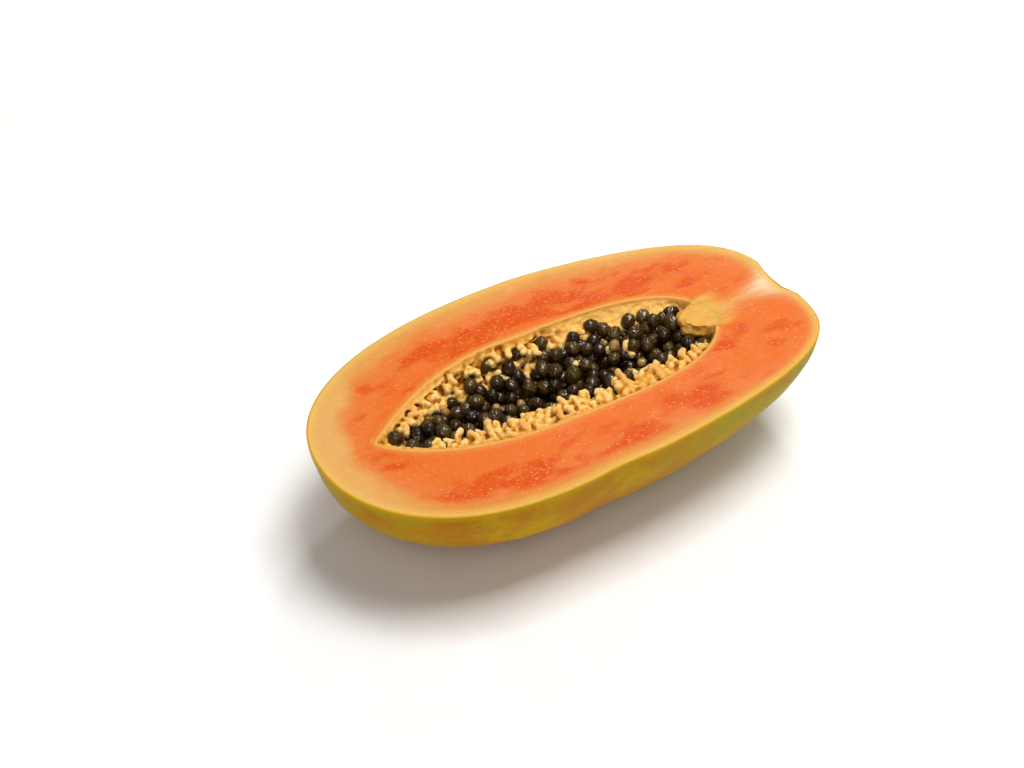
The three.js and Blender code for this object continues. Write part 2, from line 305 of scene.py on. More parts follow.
def buildFlesh():
    body = fleshBody
    skin = unevenFruit(loftGrid(fruit, body["along"], body["skinAround"]))
    wall = loftGrid(hollow, body["along"], body["wallAround"])
    tongue, tongueFaces = tongueShell()

    swell = mixedNoise(skin, body["swell"])
    inward = skin - np.array([fruit["middle"][0], 0.0, 0.0])
    inward[..., 0] *= 0.25
    inward = unit(inward)
    fade = smoothStep(0.0, 9.0, -skin[..., 2]) * smoothStep(0.6, 5.0, skin[..., 2] + fruit["cutHeight"])
    skin = skin - inward * (body["skinWave"] * (swell + 0.5) * fade)[..., None]
    skin[:, 0, 2] -= body["edgeRound"]
    skin[:, -1, 2] -= body["edgeRound"]

    outer = np.concatenate([skin[:, 0], skin[::-1, -1]])
    inner = np.concatenate([wall[:, 0], wall[::-1, -1]])
    share = (1.0 - np.cos(np.linspace(0.0, math.pi, body["cutRings"] + 1))) / 2.0
    cut = outer[:, None] * (1.0 - share)[None, :, None] + inner[:, None] * share[None, :, None]
    span = np.linalg.norm((outer - inner)[:, :2], axis=1)[:, None]
    fromSkin, fromHollow = span * share[None, :], span * (1.0 - share)[None, :]
    wave = mixedNoise(cut, body["cutRipple"])
    quiet = smoothStep(0.0, 3.0, fromSkin) * smoothStep(0.0, 4.0, fromHollow)
    drop = body["edgeRound"] * np.exp(-((fromSkin / body["edgeReach"]) ** 2))
    cut[..., 2] = -drop + body["cutWave"] * (wave - 1.2) * quiet
    cut[:, 0], cut[:, -1] = outer, inner

    station, across = cut[..., 0], cut[..., 1]
    band = np.where(across > 0, body["rindFar"], body["rindNear"])
    band = band + body["rindBlossom"] * (1.0 - smoothStep(*body["blossomSpan"], station))
    band = band + body["rindStem"] * smoothStep(*body["stemSpan"], station)
    ripe = mixedNoise(cut, body["ripeClouds"])
    spots = np.zeros_like(ripe)
    for place, side, long, wide, strength in body["ripeSpots"]:
        away = ((station - place) / long) ** 2 + ((across - side) / wide) ** 2
        spots = np.maximum(spots, strength * 0.8 * np.exp(-0.5 * away))
    corePath, coreWidth = (np.interp(station, *body[key]) for key in ("corePath", "coreWidth"))
    core = np.exp(-(((across - corePath) / coreWidth) ** 2)) * smoothStep(*body["coreSpan"], station)
    cx, cy, _, length, width, _ = fruit["tongue"]
    tongueFar = np.sqrt(((station - cx) / (length + 1.5)) ** 2 + ((across - cy) / (width + 1.0)) ** 2)
    tongueTint = 1.0 - smoothStep(*body["tongueEdge"], tongueFar)
    tongueTint = tongueTint * (1.0 - smoothStep(*body["tongueSpan"], station))
    cream = 1.0 - smoothStep(*body["creamSpan"], station) + body["creamFar"] * (across > 0)
    scarX, scarY, radius, _ = fruit["scar"]
    fromScar = np.linalg.norm(skin - [scarX - 2.0, scarY, 0.0], axis=-1)
    scarNear = smoothStep(radius + 3.0, radius - 2.0, fromScar)
    deep = body["inFlesh"]

    def gather(onSkin, onCut, onWall, onTongue):
        grids = ((skin, onSkin), (cut, onCut), (wall, onWall), (tongue, onTongue))
        return np.concatenate([np.broadcast_to(value, grid.shape[:-1]).reshape(-1) for grid, value in grids])

    marks = {
        "fromSkin": gather(0.0, fromSkin, deep, deep),  # mm
        "fromHollow": gather(deep, fromHollow + deep * tongueTint, 0.0, deep),  # mm
        "fleshZone": gather(0.0, fromSkin / band, 3.0, 3.0),  # 1 where the pale band under the skin ends
        "ripe": gather(0.0, ripe + spots, 0.3, 0.0),
        "cream": gather(0.0, cream, 0.0, 0.0),
        "stemCore": gather(0.0, core, 0.0, 0.0),
        "scarWhite": gather(0.0, smoothStep(*body["whiteSpan"], station), 0.0, 0.0),
        "tongue": gather(0.0, tongueTint, 0.0, 1.0),
        "belowCut": gather(-skin[..., 2], 0.0, -wall[..., 2], 0.0),
        "alongFruit": gather(skin[..., 0], station, wall[..., 0], tongue[..., 0]),
        "scarNear": gather(scarNear, 0.0, 0.0, 0.0),
    }
    skinFaces, wallFaces = gridFaces(*skin.shape[:2]), gridFaces(*wall.shape[:2])[:, ::-1]
    shells = ((skin, skinFaces), (cut, gridFaces(*cut.shape[:2])), (wall, wallFaces), (tongue, tongueFaces))
    points, faces = joinShells([(grid.reshape(-1, 3), loops) for grid, loops in shells])
    kinds = [0] * len(skinFaces) + [1] * (len(faces) - len(skinFaces))
    piece = makePiece("papayaFlesh", points, faces, marks, kinds)
    piece.data.set_sharp_from_angle(angle=math.radians(body["crispAngle"]))
    return piece


flesh = buildFlesh()
print("flesh and skin built:", len(flesh.data.vertices), "points")

# pulp lining: the yellow wall of the hollow, with honeycomb sockets and knobbly stalks that held the seeds
pulpBody = {
    "gap": 0.3, "thickness": 2.2,
    "seatGap": -0.6, "base": 1.2,  # mm from the wall of the hollow to the back and front of the plain lining
    "stalkRows": [  # side, first and last station, step, angles below the cut, length
        (-1, 48.0, 168.0, 5.0, (9.0, 21.0), 9.0),
        (1, 42.0, 132.0, 5.6, (12.0, 24.0, 36.0), 4.5),
    ],
    "stalkDraws": 311, "stalkThick": 1.5, "stalkTurn": 9.0, "stalkTop": -1.5,  # mm, degrees, mm
    "stalkLean": 0.8, "stalkLengths": (0.7, 1.3),  # mm sideways, shares of the row's length
    "shelf": {  # more stalks along the near lip, as thick as they really stand
        "count": 150, "draws": 4127, "span": (34.0, 176.0), "angles": (6.0, 30.0), "thick": (1.25, 2.2),
        "footSpread": 5.0, "tipSpread": 6.0, "tipDrop": 2.0,  # mm of scatter
        "inset": 2.2, "top": 2.4, "slope": 0.3,  # mm off the wall, mm below the cut, fall towards the middle
        "width": ((34, 44, 56, 66, 80, 104, 122, 140, 160, 176),
                  (1.0, 3.0, 5.5, 11.0, 13.0, 12.5, 11.0, 9.0, 5.0, 1.5)),
    },
    "farBlobs": {"count": 34, "draws": 615, "span": (34.0, 130.0), "angles": (28.0, 54.0), "length": (2.2, 5.8),
                 "thick": (1.4, 2.5), "lean": 6.0, "top": -2.5},
    "looseBits": {"count": 6, "draws": 733, "span": (112.0, 178.0), "across": (-12.0, 12.0), "lift": 2.6,
                  "lumps": 3, "thick": (1.15, 1.75)},
    "along": 220, "around": 96, "knobFacets": (10, 7), "nubDraws": 88,
    "lumpStep": 1.2, "wobble": 0.8, "bend": 0.6,  # mm between lumps, mm off the line, share of the length
    "lumpSizes": (0.85, 1.15), "headStep": 0.9, "headSize": 1.12, "headTaper": 0.16, "headVary": 0.2,
    "headLumps": 2.2,  # a head has one lump and up to this many more
    "pastShelf": 2.0,  # mm that a near stalk may stand out from the shelf
    "seedRoom": 2.2, "lumpTop": 0.35,  # mm kept free around the lone seeds and below the cut
    "lump": [(0.5, 1.0, 7.0, 6.0)], "fine": [(0.5, 1.0, 2.6, 7.0)],
    "socketSize": 5.2, "socketRidge": 2.6,  # mm between sockets and height of the ridges
    "stemSlope": 5.5,  # mm that the far wall slopes inwards at the stem end
    "stemSpan": (112.0, 128.0, 168.0, 180.0),  # stations where that slope starts, is full, is still full, ends
    "stemAngles": (1.0, 24.0, 45.0, 75.0),  # and the angles below the cut, likewise
    "tear": [(0.65, 1.0, 2.6, 11.0), (0.3, 1.0, 1.2, 12.0)],  # mm of roughness where the pulp tore
    "voxel": 0.45, "softenTimes": 2, "soften": 0.5,  # mm, how often and how much the fused pulp is smoothed
    "calm": 0.85, "calmSpan": (112.0, 134.0),  # share of the ridges lost towards the stem, and where
    "ridgeEdge": (0.02, 0.5), "lipFade": (1.5, 5.5), "blossomFade": (24.5, 34.0),  # share, degrees, stations
    "tearFade": (0.6, 2.4),  # mm below the cut over which the roughness sets in
    "peakReach": 8, "peakBlur": 2,  # rounds of averaging that tell peaks from pits
    "smoothSpan": (114.0, 134.0), "smoothStand": (11.0, 8.5),  # stations and mm off the wall of the smooth part
    "underTongue": -4.0, "top": 0.12,  # mm, highest pulp behind the tongue and at the lip
}
# seed heap: a bed of seeds with piles on it, seeds deep between them, single ones on the wall and by the tongue
seedHeap = {
    "long": 3.2, "wide": 2.7, "spacing": 5.3, "lift": 1.4, "darts": 6000, "draws": 20251,
    "bedShare": 0.55, "leftRise": 0.45, "rightRise": 0.35, "valley": (98.0, 14.0, 4.0),
    "wall": {"from": 90.0, "step": 12.0, "count": 4, "angle": 20.0, "draws": 77, "spread": 6.0, "turn": 12.0,
             "sink": 0.6},
    "plump": 1.1,  # the wet skin swells each seed by this much
    "touch": 0.9,  # share of two half widths at which seeds rest on each other
    "piles": [  # first and last station, least and most across, number of seeds lying on the first layer
        (33.0, 104.0, -8.0, 20.0, 24), (108.0, 182.0, 3.0, 23.0, 26), (106.0, 180.0, -15.0, 8.0, 14)],
    "pileTries": 30, "pileDraws": 909,
    "lowSpacing": 5.0, "lowDarts": 3000, "lowDraws": 5150,  # seeds seen deep between the others
    "lowLift": -1.6, "lowRoom": 2.0,
    "stalkRoom": 1.1, "pileRoom": 3.4, "tongueRoom": 3.0, "bedRoom": 2.0,  # mm clear of stalks and tongue
    "bedSizes": (0.86, 1.1), "pileSizes": (0.9, 1.12), "loneSize": 1.02,
    "wrinkle": 0.3, "wrinkleScale": (1.4, 2.6, 2.6), "wrinkleBase": 0.85,
    "dimple": 0.07, "dimpleScale": 1.1, "noiseRange": 40.0, "stretches": (0.95, 1.11),
    "pileTop": -3.6, "pileInset": 2.4,  # mm, highest middle of a seed, room to the pulp
    "coreDrop": 2.8, "coreInset": 0.4, "coreEnds": 9.0,  # mm from the bed, pulp and ends to the dark core of painted shade
    "coreRings": 60, "coreSteps": 181, "coreLeast": 20, "coreUnder": 16, "coreTop": 14, "coreTone": 0.15,
    "facets": (28, 20), "lookDraws": 1203,
    "paleShare": 0.05, "paleSize": 0.7,
    "stemEnd": [(173.0, 13.0), (176.0, -8.5), (172.5, -10.5), (168.5, -9.0)],  # single seeds beside the tongue
    "stemSink": 0.7, "stemTop": -3.7,  # share of a half width, mm, highest of their middles
}
liningFront = pulpBody["gap"] + pulpBody["thickness"]  # mm from the wall of the hollow to the face of the pulp


def hollowReach(side, station, inset=0.0):
    return float(reachAt(hollow, side, station, inset))


def cheek(across):
    return "left" if across > 0 else "right"


def wallPoint(station, side, angle, inset):
    turn = math.radians(angle)
    reach = hollowReach(cheek(side), station, inset)
    deep = hollowReach("back", station, inset)
    return np.array([station, side * reach * math.cos(turn), -deep * math.sin(turn)])


def bedHeight(station, across):
    reach = hollowReach(cheek(across), station)
    share = min(1.0, abs(across) / reach) if reach > 0 else 0.0
    place, spread, depth = seedHeap["valley"]
    middle = seedHeap["bedShare"] * hollowReach("back", station)
    middle += depth * math.exp(-((station - place) / spread) ** 2)
    rise = seedHeap["leftRise"] if across > 0 else seedHeap["rightRise"]
    return -middle * (1.0 - rise * share)


def wallHeight(station, across, inset):
    reach = hollowReach(cheek(across), station, inset)
    share = abs(across) / reach if reach > 0 else 1.0
    deep = hollowReach("back", station, inset)
    return -deep * math.sqrt(1.0 - share * share) if share < 1.0 else None


def stemThickness(station, angle):  # mm of extra pulp under the far lip at the stem end
    start, full, stillFull, end = pulpBody["stemSpan"]
    along = smoothStep(start, full, station) * smoothStep(end, stillFull, station)
    start, full, stillFull, end = pulpBody["stemAngles"]
    return pulpBody["stemSlope"] * along * smoothStep(start, full, angle) * smoothStep(end, stillFull, angle)


def layStemSeeds():
    laid = []
    for station, across in seedHeap["stemEnd"]:
        rest = wallHeight(station, across, liningFront + seedHeap["wide"] * seedHeap["stemSink"])
        laid.append(np.array([station, across, min(seedHeap["stemTop"], rest or 0.0)]))
    return laid


def layStalks():
    laid = []
    startDraws(pulpBody["stalkDraws"])
    for side, first, last, step, angles, length in pulpBody["stalkRows"]:
        station = first
        while station < last:
            for angle in angles:
                place = station + swing() * step
                foot = wallPoint(place, side, angle + swing() * pulpBody["stalkTurn"], liningFront)
                inward = unit(np.array([swing() * pulpBody["stalkLean"], -foot[1], -foot[2]]))
                tip = foot + inward * length * between(*pulpBody["stalkLengths"])
                if pulpBody["stalkTop"] > tip[2] > bedHeight(tip[0], tip[1]):
                    laid.append((foot, tip, pulpBody["stalkThick"]))
            station += step
    return laid


def layShelf():  # knobbly stalks that lie over each other along the near lip
    rule, laid = pulpBody["shelf"], []
    startDraws(rule["draws"])
    for _ in range(rule["count"]):
        station = between(*rule["span"])
        inward = draw() * float(np.interp(station, *rule["width"]))
        foot = wallPoint(station + swing() * rule["footSpread"], -1, between(*rule["angles"]), pulpBody["base"])
        reach = hollowReach("right", station, rule["inset"])
        drop = rule["top"] + rule["slope"] * inward
        place = station + swing() * rule["tipSpread"]
        tip = np.array([place, -(reach - inward), -(drop + rule["tipDrop"] * draw())])
        laid.append((foot, tip, between(*rule["thick"])))
    return laid


def layFarBlobs():  # round lumps of pulp between the sockets of the far wall
    rule, laid = pulpBody["farBlobs"], []
    startDraws(rule["draws"])
    for _ in range(rule["count"]):
        station, angle = between(*rule["span"]), between(*rule["angles"])
        foot = wallPoint(station, 1, angle, pulpBody["base"])
        inward = np.array([swing() * rule["lean"], -foot[1], -foot[2] + rule["lean"] * draw()])
        tip = foot + unit(inward) * between(*rule["length"])
        if tip[2] < rule["top"]:
            laid.append((foot, tip, between(*rule["thick"])))
    return laid


stalks, stemSeeds = layStalks(), layStemSeeds()
nubs = stalks + layShelf() + layFarBlobs()
nubFeet = np.array([nub[0] for nub in nubs])
nubLines = np.array([nub[1] - nub[0] for nub in nubs])


def toNearestNub(place, count):  # mm from a place to the nearest of the first nubs
    feet, lines = nubFeet[:count], nubLines[:count]
    share = np.einsum("ij,ij->i", place - feet, lines) / np.einsum("ij,ij->i", lines, lines)
    return np.linalg.norm(place - feet - lines * np.clip(share, 0.0, 1.0)[:, None], axis=1).min()


def nubBalls():  # every stalk is a chain of lumps that ends in a crooked head
    body, lumps = pulpBody, []
    startDraws(body["nubDraws"])
    for number, (foot, tip, thick) in enumerate(nubs):
        long = np.linalg.norm(tip - foot)
        if number < len(stalks) and foot[1] < 0:  # none reaches beyond the shelf
            most = body["pastShelf"] + np.interp(foot[0], *body["shelf"]["width"])
            tip = foot + (tip - foot) * min(1.0, most / long)
            long = np.linalg.norm(tip - foot)
        side = unit(np.cross(tip - foot, [0.2, 0.1, 1.0]))
        bend = swing() * body["bend"] * long
        steps = max(2, int(long / body["lumpStep"]))
        for step in range(steps + 1):
            share = step / steps
            wobble = np.array([swing(), swing(), swing()]) * body["wobble"]
            centre = foot + (tip - foot) * share + side * bend * share * (1.0 - share) * 2.0 + wobble
            lumps.append((centre, thick * between(*body["lumpSizes"])))
        head = unit(np.array([swing(), swing(), 0.5 * swing()]))
        for step in range(1, 2 + int(body["headLumps"] * draw())):
            size = body["headSize"] - body["headTaper"] * step + body["headVary"] * draw()
            lumps.append((tip + head * body["headStep"] * thick * step, thick * size))
    rule = body["looseBits"]
    startDraws(rule["draws"])
    for _ in range(rule["count"]):
        station, across = between(*rule["span"]), between(*rule["across"])
        centre = np.array([station, across, bedHeight(station, across) + seedHeap["lift"] + rule["lift"]])
        head = unit(np.array([swing(), swing(), 0.3 * draw()])) * body["lumpStep"]
        for step in range(rule["lumps"]):
            wobble = [swing(), swing(), 0.4 * draw()]
            lumps.append((centre + head * step + wobble, between(*rule["thick"])))
    return lumps


def roughenPulp(mesh):  # torn pulp is lumpy, so no stalk stays a smooth finger
    points, normals = readMesh(mesh)
    below = fruit["cutHeight"] - points[:, 2] * 1000.0
    tear = mixedNoise(points * 1000.0, pulpBody["tear"])
    points = points + normals * (tear * smoothStep(*pulpBody["tearFade"], below))[:, None] / 1000.0
    mesh.vertices.foreach_set("co", points.reshape(-1))
    mesh.update()


def buildPulp():
    body = pulpBody
    along, around = body["along"], body["around"]
    outer = loftGrid(hollow, along, around, body["seatGap"])
    inner = loftGrid(hollow, along, around, body["base"])
    station, angle = inner[..., 0], np.linspace(0.0, 180.0, around + 1)[None, :]
    socket = np.empty(inner.shape[:2])
    for index in np.ndindex(socket.shape):
        near = noise.voronoi(Vector(inner[index] / body["socketSize"]))[0]
        socket[index] = near[1] - near[0]
    ridge = 1.0 - smoothStep(*body["ridgeEdge"], socket)
    calm = 1.0 - body["calm"] * smoothStep(*body["calmSpan"], station)  # the wall is smoother towards the stem
    lump, fine = (0.5 + mixedNoise(inner, body[key]) for key in ("lump", "fine"))
    fromRim = np.minimum(angle, 180.0 - angle)
    stand = body["socketRidge"] * ridge * calm * (0.35 + 0.9 * lump) + 0.6 * lump + 0.5 * fine
    stand = stand * (0.3 + 0.7 * smoothStep(*body["lipFade"], fromRim))
    stand = stand * smoothStep(*body["blossomFade"], station)
    stand = stand + stemThickness(station, angle)
    axis = np.stack([station, np.zeros_like(station), np.zeros_like(station)], axis=-1)
    inner = inner + unit(axis - inner) * stand[..., None]
    for grid in (outer, inner):
        front, there = tongueFront(grid[..., 1], np.minimum(grid[..., 2], -0.2))
        covered = there & (grid[..., 0] > front - 0.2)
        grid[..., 2] = np.minimum(grid[..., 2], np.where(covered, body["underTongue"], body["top"]))
    count = outer.shape[0] * outer.shape[1]
    backFaces, frontFaces = (gridFaces(along + 1, around + 1, first) for first in (0, count))
    faces = backFaces.tolist() + frontFaces[:, ::-1].tolist()
    for row in range(along):
        for column, flip in ((0, False), (around, True)):
            a, b = row * (around + 1) + column, (row + 1) * (around + 1) + column
            quad = [a, b, b + count, a + count]
            faces.append(quad[::-1] if flip else quad)
    shells = [(np.concatenate([outer.reshape(-1, 3), inner.reshape(-1, 3)]), faces)]
    knob, knobFaces = ball(*body["knobFacets"])
    for centre, size in nubBalls():
        if min(np.linalg.norm(centre - place) for place in stemSeeds) < size + body["seedRoom"]:
            continue
        centre[2] = min(centre[2], -size - body["lumpTop"])
        shells.append((centre + knob * size, knobFaces))
    rough = makePiece("pulpRough", *joinShells(shells))
    remesh = rough.modifiers.new("fuse", "REMESH")
    remesh.mode = "VOXEL"
    remesh.voxel_size = body["voxel"] / 1000.0
    soften = rough.modifiers.new("soften", "SMOOTH")
    soften.factor = body["soften"]
    soften.iterations = body["softenTimes"]
    fused = bpy.data.meshes.new_from_object(rough.evaluated_get(bpy.context.evaluated_depsgraph_get()))
    bpy.data.objects.remove(rough)
    roughenPulp(fused)
    fused.name = "pulpLining"
    return addObject("pulpLining", fused)


def markPulp(piece):  # peaks and pits, how far below the cut, where the wall is smooth
    mesh = piece.data
    count = len(mesh.vertices)
    points, normals = readMesh(mesh)
    edges = np.empty(len(mesh.edges) * 2, np.int32)
    mesh.edges.foreach_get("vertices", edges)
    edges = edges.reshape(-1, 2)
    degree = np.maximum(np.bincount(edges.reshape(-1), minlength=count), 1)[:, None]

    def spread(values):
        columns = []
        for column in values.T:
            total = np.bincount(edges[:, 0], column[edges[:, 1]], count)
            columns.append(total + np.bincount(edges[:, 1], column[edges[:, 0]], count))
        return np.stack(columns, axis=1) / degree

    smooth = points
    for _ in range(pulpBody["peakReach"]):
        smooth = spread(smooth)
    peak = np.einsum("ij,ij->i", points - smooth, normals)[:, None] * 1000.0
    for _ in range(pulpBody["peakBlur"]):
        peak = spread(peak)
    station, across, height = toFruit(points).T
    side = np.where(across > 0, reachAt(hollow, "left", station), reachAt(hollow, "right", station))
    deep = reachAt(hollow, "back", station)
    away = np.hypot(across / np.maximum(side, 1.0), height / np.maximum(deep, 1.0))
    stand = (1.0 - away) * np.minimum(side, deep)  # mm that a point stands out from the wall
    addMark(mesh, "peak", peak)
    addMark(mesh, "belowCut", -height)
    onWall = smoothStep(*pulpBody["smoothSpan"], station) * smoothStep(*pulpBody["smoothStand"], stand)
    addMark(mesh, "smoothWall", onWall * (across > 0))
    mesh.polygons.foreach_set("use_smooth", np.ones(len(mesh.polygons), bool))
    print("pulp peaks from", peak.min().round(2), "to", peak.max().round(2))


pulp = buildPulp()
markPulp(pulp)
print("pulp lining built:", len(pulp.data.vertices), "points")


def outsideTongue(place, grow):
    cx, cy, cz, length, width, thick = fruit["tongue"]
    away = (place - np.array([cx, cy, cz])) / (np.array([length, width, thick]) + grow)
    return (away ** 2).sum() > 1.0


def throwSeeds(draws, darts, spacing, lift, room):
    laid = []
    startDraws(draws)
    inset = liningFront + seedHeap["wide"]
    for _ in range(darts):
        station = between(hollow["start"], hollow["end"])
        across = (2.0 * draw() - 1.0) * hollow["left"][1]
        wall = wallHeight(station, across, inset)
        place = np.array([station, across, bedHeight(station, across) + lift])
        if wall is None or not wall < place[2] < -seedHeap["long"]:
            continue
        if any(np.linalg.norm(seed[0] - place) <= spacing for seed in laid):
            continue
        if toNearestNub(place, len(stalks)) <= room:
            continue
        laid.append((place, between(*seedHeap["bedSizes"]), (draw() * math.pi, draw() * math.pi)))
    return laid


def pileSeeds(under):  # each seed comes to rest on the first layer, at the lowest of several places
    laid = []
    startDraws(seedHeap["pileDraws"])
    touch = 2.0 * seedHeap["wide"] * seedHeap["plump"] * seedHeap["touch"]
    for first, last, least, most, count in seedHeap["piles"]:
        for _ in range(count):
            best = None
            for _ in range(seedHeap["pileTries"]):
                station, across = between(first, last), between(least, most)
                bed = bedHeight(station, across) + seedHeap["lift"]
                height = bed
                for seed in under + laid:
                    gap = touch ** 2 - (seed[0][0] - station) ** 2 - (seed[0][1] - across) ** 2
                    if gap > 0.0:
                        height = max(height, seed[0][2] + math.sqrt(gap))
                place = np.array([station, across, height])
                wall = wallHeight(station, across, liningFront + seedHeap["pileInset"])
                if wall is None or not wall <= height <= seedHeap["pileTop"]:
                    continue
                if not outsideTongue(place, seedHeap["tongueRoom"]):
                    continue
                if toNearestNub(place, len(nubs)) < seedHeap["pileRoom"]:
                    continue
                if best is None or height - bed < best[1]:
                    best = (place, height - bed)
            if best is not None:
                laid.append((best[0], between(*seedHeap["pileSizes"]), (draw() * math.pi, draw() * math.pi)))
    return laid


def layWallSeeds():
    rule = seedHeap["wall"]
    startDraws(rule["draws"])
    laid = []
    for number in range(rule["count"]):
        station = rule["from"] + number * rule["step"] + rule["spread"] * swing()
        angle = rule["angle"] + rule["turn"] * swing()
        inset = liningFront + seedHeap["wide"] * rule["sink"]
        place = wallPoint(station, 1, angle, inset + float(stemThickness(station, angle)))
        laid.append((place, 1.0, (draw() * math.pi, draw() * math.pi)))
    return laid


def seedShadeCore():  # a dark body under the seeds, from the wall of the hollow up to the bed: painted shade for the gaps between them
    rings, ends = [], seedHeap["coreEnds"]
    inset = liningFront + seedHeap["coreInset"]
    for station in np.linspace(hollow["start"] + ends, hollow["end"] - ends, seedHeap["coreRings"]):
        left, right, deep = (hollowReach(side, station, inset) for side in ("left", "right", "back"))
        turns = np.linspace(0.0, math.pi, seedHeap["coreSteps"])
        across = np.where(np.cos(turns) > 0, left, right) * np.cos(turns)
        height = -deep * np.sin(turns)
        floor = [bedHeight(station, y) - seedHeap["coreDrop"] - 0.1 for y in across]
        low = [k for k in range(len(turns)) if height[k] < floor[k]]
        if len(low) < seedHeap["coreLeast"]:
            continue
        arc = np.linspace(low[0], low[-1], seedHeap["coreUnder"]).round().astype(int)
        under = [(station, across[k], height[k]) for k in arc]
        spread = np.linspace(across[arc[-1]], across[arc[0]], seedHeap["coreTop"])
        top = [(station, y, bedHeight(station, y) - seedHeap["coreDrop"]) for y in spread]
        rings.append(under + top[1:-1])
    width = len(rings[0])
    points = np.array(rings).reshape(-1, 3)
    faces = []
    for row in range(len(rings) - 1):
        near, far = row * width, (row + 1) * width
        for k in range(width):
            after = (k + 1) % width
            faces.append((near + k, near + after, far + after, far + k))
    faces.append(tuple(range(width))[::-1])
    faces.append(tuple((len(rings) - 1) * width + k for k in range(width)))
    return points, faces


def buildSeeds():
    rule = seedHeap
    bed = throwSeeds(rule["draws"], rule["darts"], rule["spacing"], rule["lift"],
                     rule["wide"] + rule["stalkRoom"])
    bed = [seed for seed in bed if outsideTongue(seed[0], rule["bedRoom"])]
    low = throwSeeds(rule["lowDraws"], rule["lowDarts"], rule["lowSpacing"], rule["lowLift"], rule["lowRoom"])
    top = pileSeeds(bed)
    lone = [(place, rule["loneSize"], (0.7 * number, 1.9 * number)) for number, place in enumerate(stemSeeds)]
    every = bed + top + layWallSeeds() + low + lone
    print("seeds:", len(bed), "on the bed,", len(top), "on top,", len(low), "deep between them")
    shells = [seedShadeCore()]
    coreSize, coreFaces = map(len, shells[0])
    marks = {"seedTone": [np.full(coreSize, rule["coreTone"])], "seedPale": [np.zeros(coreSize)]}
    body, bodyFaces = ball(*rule["facets"])
    startDraws(rule["lookDraws"])
    for number, (place, size, turn) in enumerate(every):
        tone, chance, phase = draw(), draw(), draw() * rule["noiseRange"]
        isPale = chance < rule["paleShare"] and number < len(bed) + len(top)
        size = size * rule["plump"] * (rule["paleSize"] if isPale else 1.0)
        shift = Vector((phase, phase, phase))
        wide = np.array([noise.noise(Vector(point * rule["dimpleScale"]) + shift) for point in body])
        folded = body * rule["wrinkleScale"]
        ridge = np.array([1.0 - abs(noise.noise(Vector(point) + shift)) for point in folded])
        swell = 1.0 + rule["dimple"] * wide + rule["wrinkle"] * (ridge - rule["wrinkleBase"])
        shape = body * swell[:, None]
        stretch = between(*rule["stretches"])
        shape = shape * [rule["long"] * size * stretch, rule["wide"] * size, rule["wide"] * size]
        turned = np.array(Euler((0.0, turn[0], 0.0)).to_matrix())
        turned = np.array(Euler((0.0, 0.0, turn[1])).to_matrix()) @ turned
        shells.append((shape @ turned.T + place, bodyFaces))
        marks["seedTone"].append(np.full(len(body), tone))
        marks["seedPale"].append(np.full(len(body), 1.0 if isPale else 0.0))
    points, faces = joinShells(shells)
    joined = {key: np.concatenate(values) for key, values in marks.items()}
    return makePiece("seedHeap", points, faces, joined, [1] * coreFaces + [0] * (len(faces) - coreFaces))


seeds = buildSeeds()
print("seeds built:", len(seeds.data.vertices), "points")


def hexColour(code):  # sRGB hex to linear
    parts = [int(code[k:k + 2], 16) / 255.0 for k in (1, 3, 5)]
    return tuple(c / 12.92 if c <= 0.04045 else ((c + 0.055) / 1.055) ** 2.4 for c in parts) + (1.0,)


def perMm(size):  # texture scale for a feature of that many millimetres, in a scene of metres
    return 1000.0 / size


def addNode(tree, kind, settings=None, give=None):  # sets and links the sockets, returns the output used next
    node = tree.nodes.new("ShaderNode" + kind)
    if kind == "Mix":
        node.data_type = "RGBA"  # every mix here is of two colours
    for key, value in (settings or {}).items():
        if isinstance(value, bpy.types.NodeSocket):
            tree.links.new(value, node.inputs[key])
        elif key == "stops":
            while len(node.color_ramp.elements) < len(value):
                node.color_ramp.elements.new(1.0)
            for element, (place, code) in zip(node.color_ramp.elements, value):
                element.position, element.color = place, hexColour(code)
        elif key == "range":
            for socket, number in zip(("From Min", "From Max", "To Min", "To Max"), value):
                node.inputs[socket].default_value = number
        elif isinstance(key, str) and hasattr(node, key):
            setattr(node, key, value)
        else:
            node.inputs[key].default_value = hexColour(value) if isinstance(value, str) else value
    outputs = [output for output in node.outputs if output.enabled]
    return node.outputs[give] if give else outputs[0] if outputs else None


def paint(piece, build, marks=()):  # a new material, named like the function that builds its shader
    material = bpy.data.materials.new(build.__name__)
    material.use_nodes = True
    material.node_tree.nodes.clear()
    add = partial(addNode, material.node_tree)
    mark = {key: add("Attribute", {"attribute_name": key}, give="Fac") for key in marks}
    shader = build(add, add("TexCoord", give="Object"), mark)
    add("OutputMaterial", {"Surface": shader})
    piece.data.materials.append(material)


# wet papaya flesh, cut with a knife: a peach band under the skin, then salmon with deeper orange where it is
# ripest, pale around the stem core, all under a film of juice; fine glints are also painted in as pale flecks
# (painted highlight)
fleshLook = {
    "skinLine": "#c99a12", "rindLine": "#dbae55", "peach": "#d18433", "cream": "#d8a15a", "rindEnd": "#d67a38",
    "salmon": "#da7334", "orange": "#da6a22", "ripe": "#d04e00", "lip": "#d98538", "tongue": "#d6a548",
    "core": "#d69a52", "coreWhite": "#e4d2a8", "paintedGlint": "#eab07c",
    "ior": 1.38,
}


